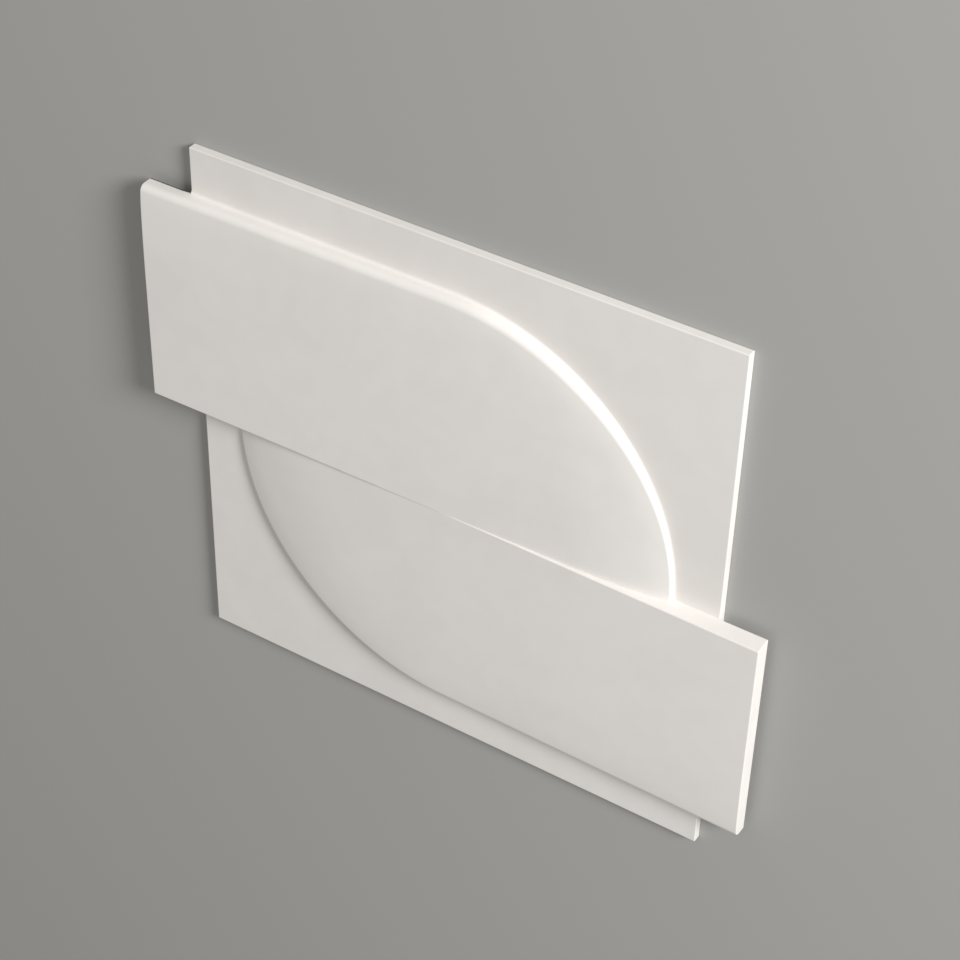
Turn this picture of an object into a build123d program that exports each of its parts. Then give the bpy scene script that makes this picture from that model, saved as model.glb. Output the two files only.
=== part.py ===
"""Cast plaster wall panel: a thin square plate with two raised halves.

The panel lies on its back, with its front face up. Seen from the front, X runs
to the right and Y runs up. Each raised half is a broad band that runs past one
side of the plate, and ends near the other side in a quarter disc. The two
halves are the same shape turned half a turn about the centre, and meet on the
level line through it. The front of each half leans a little, so one half stands
over the other on each side of the centre, like two overlapping leaves. It also
falls away softly towards its outer edge, and most at the disc's end.
"""
import os
from math import hypot, radians, tan

from build123d import *

# Driving dimensions, in millimetres and degrees
plate_side = 500.0
plate_thickness = 8.0
lap_length = 42.0
band_height = 207.3
centre_relief = 12.8
lean_angle = 0.66
split_draft = 3.7
front_rounding = 3.0
foot_rounding = 1.8

# How far the front falls beyond its lean, and over what width inside the wall
edge_fall = 1.9
edge_fall_width = 110.0
rim_fall = 0.7
rim_fall_width = 20.0
end_fall = 3.4
end_fall_width = 90.0
end_fall_centre = 130.0

# The grid that the front's surface is fitted to
front_step = 6.0
front_margin = 24.0
front_tolerance = 0.02

# Worked out from the dimensions above
half_side = plate_side / 2
band_end = half_side + lap_length
blank_height = 2 * centre_relief
blank_front = plate_thickness + blank_height
split_lean = centre_relief * tan(radians(split_draft))
seat = plate_thickness / 4
split_allowance = 2 * plate_thickness
end_fall_start = end_fall_centre + band_height - end_fall_width


def front_height(x, y):
    """How high the front of the upper half stands over the plate, at one point."""
    inside_edge = band_height - (y if x < 0 else hypot(x, y))
    into_edge = max(0, 1 - inside_edge / edge_fall_width)
    into_rim = max(0, 1 - inside_edge / rim_fall_width)
    into_end = max(0, hypot(x + end_fall_centre, y) - end_fall_start) / end_fall_width
    lean = x * tan(radians(lean_angle))
    fall = edge_fall * into_edge**3 + rim_fall * into_rim**2 + end_fall * into_end**2
    return centre_relief - lean - fall


def stations(start, end):
    """Evenly spaced places from one end to the other, about one front step apart."""
    steps = round((end - start) / front_step)
    return [start + (end - start) * i / steps for i in range(steps + 1)]


# The front of the upper half, as one smooth surface that is wider than the half
columns = stations(-band_end - front_margin, band_height + front_margin)
rows = stations(-front_margin, band_height + front_margin)
front_points = [[Vector(x, y, plate_thickness + front_height(x, y)) for y in rows] for x in columns]
front = Face.make_surface_from_array_of_points(front_points, tol=front_tolerance)

with BuildPart() as raised_half:
    # The outline seen from the front: a band with a quarter disc on its right
    with BuildSketch(Plane.XY.offset(plate_thickness)):
        with BuildLine():
            Polyline(
                (band_height, -split_allowance),
                (-band_end, -split_allowance),
                (-band_end, band_height),
                (0, band_height),
            )
            CenterArc((0, 0), band_height, 0, 90)
            Line((band_height, 0), (band_height, -split_allowance))
        make_face()
    extrude(amount=blank_height)

    # What lies under the front is kept
    extrude(front, amount=blank_front, dir=(0, 0, -1), mode=Mode.INTERSECT)

    # The soft front edge along the band's outer side and round the disc
    band_wall = raised_half.faces().filter_by(Axis.Y).sort_by(Axis.Y)[-1]
    disc_wall = raised_half.faces().filter_by(GeomType.CYLINDER)[0]
    outer_edges = ShapeList([band_wall, disc_wall]).edges().filter_by(Axis.Z, reverse=True)
    fillet(outer_edges.filter_by_position(Axis.Z, plate_thickness + seat, blank_front), front_rounding)

    # The split edge is trimmed last: its wall leans in towards the front
    with BuildSketch(Plane.YZ.offset(-band_end)):
        with BuildLine():
            Polyline(
                (-split_lean, plate_thickness),
                (band_height, plate_thickness),
                (band_height, blank_front),
                (split_lean, blank_front),
                close=True,
            )
        make_face()
    extrude(amount=band_end + band_height, mode=Mode.INTERSECT)

with BuildPart() as foot_cove:
    # The section of the cove, seated in the plate and in the wall above it
    with BuildSketch(Plane.YZ) as cove_section:
        with BuildLine():
            cove_centre = (band_height + foot_rounding, plate_thickness + foot_rounding)
            CenterArc(cove_centre, foot_rounding, 180, 90)
            Polyline(
                (band_height + foot_rounding, plate_thickness),
                (band_height + foot_rounding, plate_thickness - seat),
                (band_height - seat, plate_thickness - seat),
                (band_height - seat, plate_thickness + foot_rounding),
                (band_height, plate_thickness + foot_rounding),
            )
        make_face()
    extrude(amount=-half_side)
    revolve(cove_section.sketch, axis=Axis.Z, revolution_arc=-90)

with BuildPart() as panel:
    with BuildSketch():
        Rectangle(plate_side, plate_side)
    extrude(amount=plate_thickness)
    with PolarLocations(0, 2):
        add(raised_half.part)
        add(foot_cove.part)

os.makedirs("parts", exist_ok=True)
panel.part.label = "panel"
export_step(panel.part, "parts/panel.step")
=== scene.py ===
# %% [markdown]
# # A cast plaster wall panel
#
# The panel is one piece of gypsum plaster, poured in one go into a rubber mould: a thin square plate
# with two raised halves that look as if they had slid past each other along its middle. There is nothing
# to assemble, so this lesson is about soft edges, light and finish. A plain white thing with a shallow
# relief is drawn only by the light that rakes across it, and it looks like plaster only if its surface
# is never perfectly even.
#
# We start with the frame: the measured solid of the panel, in metres, lying on its flat back.

# %% Load the frame
from math import atan2, cos, degrees, hypot, pi, radians, sin

import bmesh
import bpy
from mathutils import Matrix, Vector


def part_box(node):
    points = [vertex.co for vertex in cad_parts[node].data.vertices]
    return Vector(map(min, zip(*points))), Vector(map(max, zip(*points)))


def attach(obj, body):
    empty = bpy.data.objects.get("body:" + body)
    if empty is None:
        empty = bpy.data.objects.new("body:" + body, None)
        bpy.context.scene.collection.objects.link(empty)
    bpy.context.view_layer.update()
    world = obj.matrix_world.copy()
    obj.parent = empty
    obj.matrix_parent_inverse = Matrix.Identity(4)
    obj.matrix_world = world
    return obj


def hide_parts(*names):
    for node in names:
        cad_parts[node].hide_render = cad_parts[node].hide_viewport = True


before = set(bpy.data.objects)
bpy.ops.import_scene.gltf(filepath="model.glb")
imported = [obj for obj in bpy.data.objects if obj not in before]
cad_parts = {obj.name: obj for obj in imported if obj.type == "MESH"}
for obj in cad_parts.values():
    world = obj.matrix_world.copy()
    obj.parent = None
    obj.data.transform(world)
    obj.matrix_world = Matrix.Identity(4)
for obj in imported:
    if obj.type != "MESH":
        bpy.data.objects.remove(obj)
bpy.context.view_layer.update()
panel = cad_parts["panel"]
low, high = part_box("panel")
print("panel", len(panel.data.polygons), "faces, box", [round(v, 4) for v in (*low, *high)])

# %% [markdown]
# ## The camera
#
# The photograph looks at the front of the panel from its upper right. The camera can be found from the
# four corners of the square plate alone, because a square seen in perspective fixes where the lens is.
# We keep that view of the panel. The panel lies down here, so the same view now looks down on it, from
# beyond its upper edge, and the panel's own "up" still points up in the picture.

# %% Place the camera
camera_place = Vector((0.8008, 1.2141, 1.2571))
camera_aim = Vector((0.0245, 0.0310, 0.0))
camera_roll = radians(1.58)
lens_length = 88.35
sensor_width = 36.0
panel_up = Vector((0, 1, 0))


def turn_towards(place, aim, up):
    """The turn of a camera or lamp at one point that looks at another, with one direction kept up."""
    back = (place - aim).normalized()
    right = up.cross(back).normalized()
    return Matrix((right, back.cross(right), back)).transposed()


view_data = bpy.data.cameras.new("view")
view_data.lens = lens_length
view_data.sensor_width = sensor_width
view = bpy.data.objects.new("view", view_data)
bpy.context.scene.collection.objects.link(view)
facing = turn_towards(camera_place, camera_aim, panel_up) @ Matrix.Rotation(camera_roll, 3, "Z")
view.matrix_world = Matrix.Translation(camera_place) @ facing.to_4x4()
bpy.context.scene.camera = view
camera_distance = (camera_place - camera_aim).length
camera_height = degrees(atan2(camera_place.z, camera_place.xy.length))
print("camera", round(camera_distance, 3), "m away,", round(camera_height, 1), "degrees up")

# %% [markdown]
# ## The floor
#
# A plain pale floor, clearly darker than the plaster. White on white would lose the panel's outline, and
# on a dark floor the plaster would look brighter than it is. It is large enough for the lamp, far off to
# one side, to stand over it.

# %% Make the floor
floor_half = 9.0
floor_tone = (0.40, 0.395, 0.38, 1.0)
floor_roughness = 0.85

bpy.ops.mesh.primitive_plane_add(size=2 * floor_half, location=(0, 0, 0))
floor = bpy.context.object
floor.name = "floor"
floor_finish = bpy.data.materials.new("pale_floor")
floor_finish.use_nodes = True
floor_shader = floor_finish.node_tree.nodes["Principled BSDF"]
floor_shader.inputs["Base Color"].default_value = floor_tone
floor_shader.inputs["Roughness"].default_value = floor_roughness
floor.data.materials.append(floor_finish)
print("floor", 2 * floor_half, "m across")

# %% [markdown]
# ## The light
#
# The relief is only a few millimetres high, so the key light has to rake: it stands low over the panel's
# face, off its right side and a little above. Faces that turn to it shine, the front takes it at a
# grazing angle, and the far side of each step falls into a soft shade. The lamp is far off, so that the
# front fades only slowly from side to side, and a metre and a half wide, which gives the shade a soft
# border, as a window does. The world fills the rest.

# %% Light the panel
key_side = radians(33)
key_height = radians(21)
key_distance = 4.4
key_width = 1.5
key_power = 208.0
fill_strength = 0.398
fill_tone = (1.0, 0.99, 0.97, 1.0)

key_aim = Vector((0, 0, 0))
key_place = key_distance * Vector((
    cos(key_height) * cos(key_side),
    cos(key_height) * sin(key_side),
    sin(key_height),
))
key_data = bpy.data.lights.new("key", "AREA")
key_data.shape = "DISK"
key_data.size = key_width
key_data.energy = key_power
key = bpy.data.objects.new("key", key_data)
bpy.context.scene.collection.objects.link(key)
key_turn = turn_towards(key_place, key_aim, Vector((0, 0, 1)))
key.matrix_world = Matrix.Translation(key_place) @ key_turn.to_4x4()

world = bpy.data.worlds.new("studio")
bpy.context.scene.world = world
world.use_nodes = True
sky = world.node_tree.nodes["Background"]
sky.inputs["Color"].default_value = fill_tone
sky.inputs["Strength"].default_value = fill_strength
bpy.context.scene.view_settings.view_transform = "Standard"
print("key lamp", [round(v, 2) for v in key_place])

# %% [markdown]
# ## Dressing the relief
#
# The measured solid has one rounding all along the outer edge, and its other edges are sharp. On the
# real casting that rounding is broad along the straight band and draws in to a crisp edge at the disc's
# end, and nearly every other edge is a little soft. So the panel gets a finer skin, in the same place
# and of the same size. One raised half is modelled, and the other is a copy of it, turned half a turn.
#
# A half's surface is a row of sections, one at each station along its outer edge. A section starts at
# the foot, climbs the wall, turns over the rounding and crosses the front to the split line. Round the
# disc all the sections end in the panel's centre. First come the sizes, as measured, in metres.

# %% Sizes of the relief
half_side = 0.250
plate_thickness = 0.008
band_end = 0.292
band_height = 0.2073
disc_reach = 0.2083
centre_relief = 0.0128
front_lean = 0.01152
split_lean = 0.00083
edge_fall, edge_fall_width = 0.0019, 0.110
rim_fall, rim_fall_width = 0.0007, 0.020
end_fall, end_fall_width = 0.0034, 0.090
end_fall_centre = 0.130
end_fall_start = end_fall_centre + band_height - end_fall_width


def front_height(x, y, inside):
    """How high the front stands over the plate, at a place some way inside the outer edge."""
    into_edge = max(0, 1 - inside / edge_fall_width)
    into_rim = max(0, 1 - inside / rim_fall_width)
    into_end = max(0, hypot(x + end_fall_centre, y) - end_fall_start) / end_fall_width
    fall = edge_fall * into_edge**3 + rim_fall * into_rim**2 + end_fall * into_end**2
    return centre_relief - x * front_lean - fall


print("front at the centre", round(1000 * (plate_thickness + front_height(0, 0, band_height)), 1), "mm high")

# %% [markdown]
# ## Stations along the edge
#
# A station says how far along the band it is, how far round the disc, and whether the plate lies under
# it. The plate's side has two stations in one place, one without the cove at the wall's foot and one with
# it, because the cove stops there in a small flat end.

# %% Set out the stations
station_step = 0.008
disc_stations = 60
quarter_turn = 90

lap_stations = round((band_end - half_side) / station_step)
band_stations = round(half_side / station_step)
stations = []
for i in range(lap_stations + 1):
    stations.append((-band_end + (band_end - half_side) * i / lap_stations, quarter_turn, False))
for i in range(band_stations + 1):
    stations.append((-half_side + half_side * i / band_stations, quarter_turn, True))
for i in range(disc_stations):
    stations.append((0.0, quarter_turn * (1 - (i + 1) / disc_stations), True))
print(len(stations), "stations")

# %% [markdown]
# ## One section
#
# Points stand close together in the cove and the rounding, where the surface turns quickly, and further
# and further apart across the front, where it hardly turns. The rounding's radius is eased from the
# broad one to the crisp one as the sections go round the disc. The last point of a section, and the
# whole last section, lie in the split plane, which leans a little.

# %% Draw a section
broad_rounding = 0.0054
crisp_rounding = 0.0012
crisp_turn, broad_turn = 12, 58
cove_radius = 0.0026
cove_steps = 5
rounding_steps = 8
front_steps = 24
front_crowding = 2.2
on_split = 1e-9


def rounding_at(turn):
    """The rounding's radius, by how many degrees are left to the disc's end."""
    share = min(1, max(0, (turn - crisp_turn) / (broad_turn - crisp_turn)))
    return crisp_rounding + (broad_rounding - crisp_rounding) * share * share * (3 - 2 * share)


def section(along, turn, on_plate):
    """The points of one section, from its foot to the split line."""
    radius = rounding_at(turn)
    round_x = disc_reach * cos(radians(turn))
    round_y = band_height * sin(radians(turn))

    def place(inside):
        left = 1 - inside / band_height
        return along + round_x * left, round_y * left

    points = []
    for i in range(cove_steps + 1):
        angle = pi / 2 * (1 - i / cove_steps)
        out = cove_radius * (1 - cos(angle)) if on_plate else 0
        points.append((*place(-out), cove_radius * (1 - sin(angle))))
    for i in range(rounding_steps + 1):
        angle = pi / 2 * (1 - i / rounding_steps)
        inside = radius * (1 - sin(angle))
        x, y = place(inside)
        points.append((x, y, front_height(x, y, inside) - radius * (1 - cos(angle))))
    for i in range(1, front_steps + 1):
        inside = radius + (band_height - radius) * (i / front_steps) ** front_crowding
        x, y = place(inside)
        points.append((x, y, front_height(x, y, inside)))
    leaning = [(x, y if y > on_split else split_lean * (h / centre_relief - 1), h) for x, y, h in points]
    return [(x, y, plate_thickness + h) for x, y, h in leaning]


middle_section = section(-half_side / 2, quarter_turn, True)
print(len(middle_section), "points in a section")

# %% [markdown]
# ## The skin of one half
#
# Neighbouring sections are joined by faces. Three flat faces close the rest: the end of the band, the
# wall along the split, and the underside. The edges that are soft on the casting get a weight, which the
# bevel modifier reads. Along the split the weight grows from the middle, as the step there does.

# %% Model one half
merge_distance = 1e-6
real_edge = radians(35)
soft_split_reach = 0.16

relief = bmesh.new()
soft = relief.edges.layers.float.new("bevel_weight_edge")
rows = [[relief.verts.new(point) for point in section(*station)] for station in stations]
for row, next_row in zip(rows, rows[1:]):
    for strip in zip(row, row[1:], next_row[1:], next_row):
        relief.faces.new(strip)
end_corner = relief.verts.new((-band_end, -split_lean, plate_thickness))
side_corner = relief.verts.new((-half_side, -split_lean, plate_thickness))
straight_rows = [row for row, station in zip(rows, stations) if station[1] == quarter_turn]
feet = [row[0] for row in rows]
split_edge = [row[-1] for row in straight_rows]
relief.faces.new([*rows[0], end_corner])
relief.faces.new([*reversed(feet), end_corner, side_corner])
relief.faces.new([*reversed(split_edge), end_corner, side_corner, *rows[-1][:-1]])
bmesh.ops.remove_doubles(relief, verts=relief.verts, dist=merge_distance)


def is_at(edge, axis, value):
    """Whether both ends of an edge have the same given coordinate."""
    return all(abs(v.co[axis] - value) < merge_distance for v in edge.verts)


for edge in relief.edges:
    middle = (edge.verts[0].co + edge.verts[1].co) / 2
    at_end = is_at(edge, 0, -band_end)
    under_lap = is_at(edge, 2, plate_thickness) and middle.x < -half_side
    if edge.is_manifold and edge.calc_face_angle() > real_edge:
        if at_end or under_lap:
            edge[soft] = 1.0
        elif middle.y < split_lean and middle.x < 0 and middle.z > plate_thickness + cove_radius:
            edge[soft] = min(1, -middle.x / soft_split_reach)
open_edges = sum(not edge.is_manifold for edge in relief.edges)
print("half has", len(relief.faces), "faces and", open_edges, "open edges")

# %% [markdown]
# ## The whole panel
#
# The half is copied with half a turn, the plate is a block with the same soft edges, and the three are
# one piece that takes the place of the measured solid.

# %% Put the panel together
edge_radius = 0.0009
edge_segments = 3

twin = bmesh.ops.duplicate(relief, geom=relief.verts[:] + relief.edges[:] + relief.faces[:])
twin_points = [item for item in twin["geom"] if isinstance(item, bmesh.types.BMVert)]
bmesh.ops.rotate(relief, verts=twin_points, cent=(0, 0, 0), matrix=Matrix.Rotation(pi, 3, "Z"))
block_turn = Matrix.Diagonal((2 * half_side, 2 * half_side, plate_thickness, 1))
block_place = Matrix.Translation((0, 0, plate_thickness / 2))
block = bmesh.ops.create_cube(relief, size=1.0, matrix=block_place @ block_turn)
for edge in {edge for point in block["verts"] for edge in point.link_edges}:
    edge[soft] = 1.0
bmesh.ops.recalc_face_normals(relief, faces=relief.faces)

skin = bpy.data.meshes.new("cast_panel")
relief.to_mesh(skin)
relief.free()
skin.shade_smooth()
skin.set_sharp_from_angle(angle=real_edge)
cast_panel = bpy.data.objects.new("cast_panel", skin)
bpy.context.scene.collection.objects.link(cast_panel)
soften = cast_panel.modifiers.new("soften", "BEVEL")
soften.limit_method = "WEIGHT"
soften.width = edge_radius
soften.segments = edge_segments
soften.use_clamp_overlap = False
soften.harden_normals = True
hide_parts("panel")
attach(cast_panel, "root")
print("cast panel", len(skin.polygons), "faces before its edges are softened")

# %% [markdown]
# ## The plaster: where its nodes take their places from
#
# Cast gypsum has no grain and no weave, but it isn't blank either. Its marks are of several sizes at
# once: faint clouds where it dried unevenly, a skin that rolls by less than a tenth of a millimetre, a
# fine tooth that keeps it matte, and small air bubbles caught against the mould. Each is a texture of
# its own, measured in the panel's own metres, so that every mark has its real size.

# %% Start the plaster
plaster_roughness = 0.62

plaster = bpy.data.materials.new("cast_plaster")
plaster.use_nodes = True
plaster_nodes = plaster.node_tree.nodes
plaster_links = plaster.node_tree.links
plaster_shader = plaster_nodes["Principled BSDF"]
panel_metres = plaster_nodes.new("ShaderNodeTexCoord").outputs["Object"]


def feed(source, socket):
    """Joins an output to an input, or sets the input where the source is a plain value."""
    if isinstance(source, bpy.types.NodeSocket):
        plaster_links.new(source, socket)
    else:
        socket.default_value = source


def reckon(operation, *values):
    """One step of arithmetic between outputs and numbers."""
    step = plaster_nodes.new("ShaderNodeMath")
    step.operation = operation
    for value, socket in zip(values, step.inputs):
        feed(value, socket)
    return step.outputs["Value"]


def ease(value, start, end, low_end=0.0, high_end=1.0):
    """A value carried smoothly from one range into another, from 0 to 1 unless told otherwise."""
    step = plaster_nodes.new("ShaderNodeMapRange")
    step.interpolation_type = "SMOOTHSTEP"
    for number, name in ((start, "From Min"), (end, "From Max"), (low_end, "To Min"), (high_end, "To Max")):
        step.inputs[name].default_value = number
    feed(value, step.inputs["Value"])
    return step.outputs["Result"]


def clouds(size, detail=2.0, places=panel_metres):
    """Soft noise, from 0 to 1, whose blots are about as large as the size given, in metres."""
    noise = plaster_nodes.new("ShaderNodeTexNoise")
    noise.inputs["Scale"].default_value = 1 / size
    noise.inputs["Detail"].default_value = detail
    feed(places, noise.inputs["Vector"])
    return noise.outputs["Fac"]


print("plaster takes its places from", panel_metres.name, "coordinates")

# %% [markdown]
# ## The skin of the casting
#
# Where the plaster touched the rubber it copied it: nearly flat, with a slow roll and a fine tooth.
# These heights are real ones, in metres, and a bump turns them into shading. They are far too small to
# be built as geometry, less than a tenth of a millimetre, but raking light finds them.

# %% Heights of the skin
roll_size, roll_height = 0.060, 0.00009
ripple_size, ripple_height = 0.014, 0.000016
tooth_size, tooth_height, tooth_detail = 0.0016, 0.000012, 3.0

roll = reckon("MULTIPLY", clouds(roll_size), roll_height)
ripple = reckon("MULTIPLY", clouds(ripple_size), ripple_height)
tooth = reckon("MULTIPLY", clouds(tooth_size, tooth_detail), tooth_height)
moulded = reckon("ADD", reckon("ADD", roll, ripple), tooth)
print("skin rolls by", roll_height * 1000, "mm, tooth", tooth_height * 1000, "mm")

# %% [markdown]
# ## Air bubbles
#
# When plaster is poured, a few bubbles stay against the mould and leave round pits, mostly well under a
# millimetre wide. A cell texture gives one point per cell. Each cell also has a random number, and only
# the cells that draw a high one keep their pit, so the pits are few and lie unevenly.

# %% Pits left by the bubbles
pit_spacing = 0.009
pit_radius = 0.00045
pit_depth = 0.00016
pit_slope = pit_radius / 3
pit_share = 0.16

cells = plaster_nodes.new("ShaderNodeTexVoronoi")
cells.inputs["Scale"].default_value = 1 / pit_spacing
feed(panel_metres, cells.inputs["Vector"])
draw = plaster_nodes.new("ShaderNodeSeparateColor")
feed(cells.outputs["Color"], draw.inputs["Color"])
from_centre = reckon("MULTIPLY", cells.outputs["Distance"], pit_spacing)
own_radius = reckon("MULTIPLY", draw.outputs["Green"], pit_radius)
inside = reckon("SUBTRACT", own_radius, from_centre)
hollow = ease(inside, 0.0, pit_slope)
kept = reckon("GREATER_THAN", draw.outputs["Red"], 1 - pit_share)
pits = reckon("MULTIPLY", hollow, kept)
print("pits up to", 2 * pit_radius * 1000, "mm wide, in", round(100 * pit_share), "of 100 cells")

# %% [markdown]
# ## The open back
#
# The side that faces up while the plaster sets is never moulded. It is struck off with a straight edge
# pulled across the mould, which leaves long drag marks and a coarser surface, and nobody sees it once the
# panel hangs. A point is on the open back where the surface looks straight down and lies below the
# middle of the plate: the back of each lap looks down too, but it was moulded. The marks are noise
# stretched a long way along the stroke.

# %% Drag marks on the back
stroke_stretch = (0.04, 1.0, 1.0)
stroke_size, stroke_height, stroke_detail = 0.005, 0.00022, 4.0
patch_size, patch_height = 0.030, 0.00030
straight_down = -0.99

facing_node = plaster_nodes.new("ShaderNodeNewGeometry")
normal_parts = plaster_nodes.new("ShaderNodeSeparateXYZ")
feed(facing_node.outputs["True Normal"], normal_parts.inputs["Vector"])
place_parts = plaster_nodes.new("ShaderNodeSeparateXYZ")
feed(panel_metres, place_parts.inputs["Vector"])
looks_down = reckon("LESS_THAN", normal_parts.outputs["Z"], straight_down)
lies_low = reckon("LESS_THAN", place_parts.outputs["Z"], plate_thickness / 2)
plate_back = reckon("MULTIPLY", looks_down, lies_low)
stroke_places = plaster_nodes.new("ShaderNodeMapping")
stroke_places.inputs["Scale"].default_value = stroke_stretch
feed(panel_metres, stroke_places.inputs["Vector"])
strokes = clouds(stroke_size, stroke_detail, stroke_places.outputs["Vector"])
patches = clouds(patch_size)
stroke_marks = reckon("MULTIPLY", strokes, stroke_height)
patch_marks = reckon("MULTIPLY", patches, patch_height)
dragged = reckon("ADD", stroke_marks, patch_marks)
print("drag marks", stroke_height * 1000, "mm deep")

# %% [markdown]
# ## Soft edges
#
# No cast edge is razor sharp: the mould itself is a little soft there, and handling rubs it. A narrow
# rounding catches the light as a fine line along every edge. The bevel node bends the surface direction
# near an edge as if it were rounded, and a noise makes the rounding wider in some places than in others,
# so that the line is alive. How far the bent direction differs from the true one also says where the
# edges are, and there the colour is made a little lighter: partly rubbing, partly a painted highlight.

# %% Round the edges and lighten their colour, partly rubbing and partly painted highlight
edge_least, edge_most = 0.0004, 0.0011
edge_patch_size = 0.012
edge_noise_low, edge_noise_high = 0.35, 0.70
edge_mark_start, edge_mark_end = 0.02, 0.25
edge_samples = 4

edge_width = ease(clouds(edge_patch_size), edge_noise_low, edge_noise_high, edge_least, edge_most)
soft_edge = plaster_nodes.new("ShaderNodeBevel")
soft_edge.samples = edge_samples
feed(edge_width, soft_edge.inputs["Radius"])
likeness = plaster_nodes.new("ShaderNodeVectorMath")
likeness.operation = "DOT_PRODUCT"
feed(soft_edge.outputs["Normal"], likeness.inputs[0])
feed(facing_node.outputs["Normal"], likeness.inputs[1])
# Where the edges are: their colour is lightened there, partly rubbing and partly a painted highlight.
edge_rub_and_highlight = ease(reckon("SUBTRACT", 1.0, likeness.outputs["Value"]), edge_mark_start, edge_mark_end)
print("edges rounded by", edge_least * 1000, "to", edge_most * 1000, "mm")

# %% [markdown]
# ## Colour and sheen
#
# The plaster is a warm off-white, which throws back about four fifths of the light that falls on it.
# Broad faint clouds run through it, with smaller ones inside them. It is greyer on the back. In the pits it
# is a little darker, which is painted shade, and on the edges a little lighter, which is partly rubbing and
# partly a painted highlight. Plaster is matte all over, but the moulded skin is slightly tighter than the
# struck back.

# %% Colour the plaster
cloud_low = (0.798, 0.766, 0.731, 1.0)
cloud_high = (0.822, 0.791, 0.757, 1.0)
# Painted shade: the darker colour put into the pits.
pit_painted_shade_tone = (0.56, 0.53, 0.49, 1.0)
back_tone = (0.72, 0.70, 0.67, 1.0)
# Lighter edge colour, partly rubbing and partly a painted highlight.
edge_rub_and_highlight_tone = (0.86, 0.83, 0.80, 1.0)
broad_size, small_size, small_detail = 0.110, 0.022, 4.0
small_share = 0.35
noise_low, noise_high = 0.35, 0.65
edge_rub_and_highlight_strength = 0.6
pit_painted_shade_strength = 0.7
roughness_spread = 0.08
back_roughness = 0.15

# The mix node has a set of sockets for each kind of value. These are its share and its colours.
colour_inputs, colour_output = (0, 6, 7), 2


def blend_tones(share, first, second):
    """A mix of two colours, by a share from 0 to 1."""
    mixer = plaster_nodes.new("ShaderNodeMix")
    mixer.data_type = "RGBA"
    for source, socket in zip((share, first, second), colour_inputs):
        feed(source, mixer.inputs[socket])
    return mixer.outputs[colour_output]


broad = clouds(broad_size)
small = clouds(small_size, small_detail)
broad_part = reckon("MULTIPLY", broad, 1 - small_share)
small_part = reckon("MULTIPLY", small, small_share)
cloudiness = reckon("ADD", broad_part, small_part)
tone = blend_tones(ease(cloudiness, noise_low, noise_high), cloud_low, cloud_high)
tone = blend_tones(reckon("MULTIPLY", plate_back, strokes), tone, back_tone)
# The edges get a lighter colour, partly rubbing and partly a painted highlight.
tone = blend_tones(reckon("MULTIPLY", edge_rub_and_highlight, edge_rub_and_highlight_strength), tone, edge_rub_and_highlight_tone)
# The pits get a darker colour, a painted shade on top of their bumped dents.
tone = blend_tones(reckon("MULTIPLY", pits, pit_painted_shade_strength), tone, pit_painted_shade_tone)
feed(tone, plaster_shader.inputs["Base Color"])

tightest, loosest = plaster_roughness - roughness_spread, plaster_roughness + roughness_spread
uneven = ease(small, noise_low, noise_high, tightest, loosest)
coarser = reckon("MULTIPLY", plate_back, back_roughness)
feed(reckon("ADD", uneven, coarser), plaster_shader.inputs["Roughness"])

surface_height = reckon("SUBTRACT", moulded, reckon("MULTIPLY", pits, pit_depth))
surface_height = reckon("ADD", surface_height, reckon("MULTIPLY", plate_back, dragged))
bump = plaster_nodes.new("ShaderNodeBump")
bump.inputs["Distance"].default_value = 1.0
feed(surface_height, bump.inputs["Height"])
feed(soft_edge.outputs["Normal"], bump.inputs["Normal"])
feed(bump.outputs["Normal"], plaster_shader.inputs["Normal"])

cast_panel.data.materials.append(plaster)
print("plaster of", len(plaster_nodes), "nodes on", cast_panel.name)
